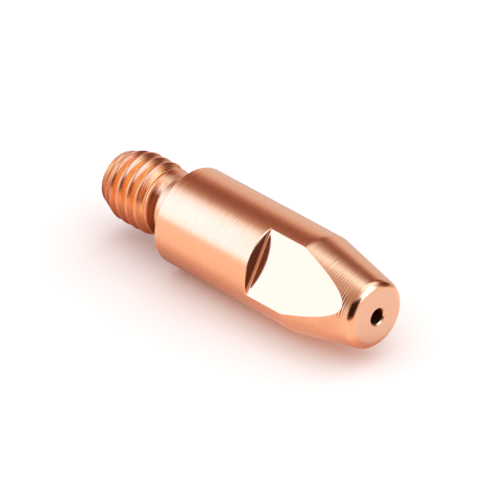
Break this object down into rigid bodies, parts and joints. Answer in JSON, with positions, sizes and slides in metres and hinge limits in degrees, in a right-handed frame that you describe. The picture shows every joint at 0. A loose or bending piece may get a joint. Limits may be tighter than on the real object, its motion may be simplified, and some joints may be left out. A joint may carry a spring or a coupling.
{
  "type": "welding contact tip",
  "caption": "Turned copper contact tip with a threaded stud, a round body, wrench flats on a tapered nose and a bore that guides the welding wire.",
  "frame": {"origin": "centre of the threaded end's face, on the axis of the wire bore", "axes": "+Z along the wire bore from the threaded end to the nose, +Y and -Y square to the two wrench flats"},
  "size_m": [0.008, 0.008, 0.028],
  "materials": {
    "copper": "satin"
  },
  "bodies": {
    "root": {"contact_tip": "copper"}
  },
  "joints": []
}
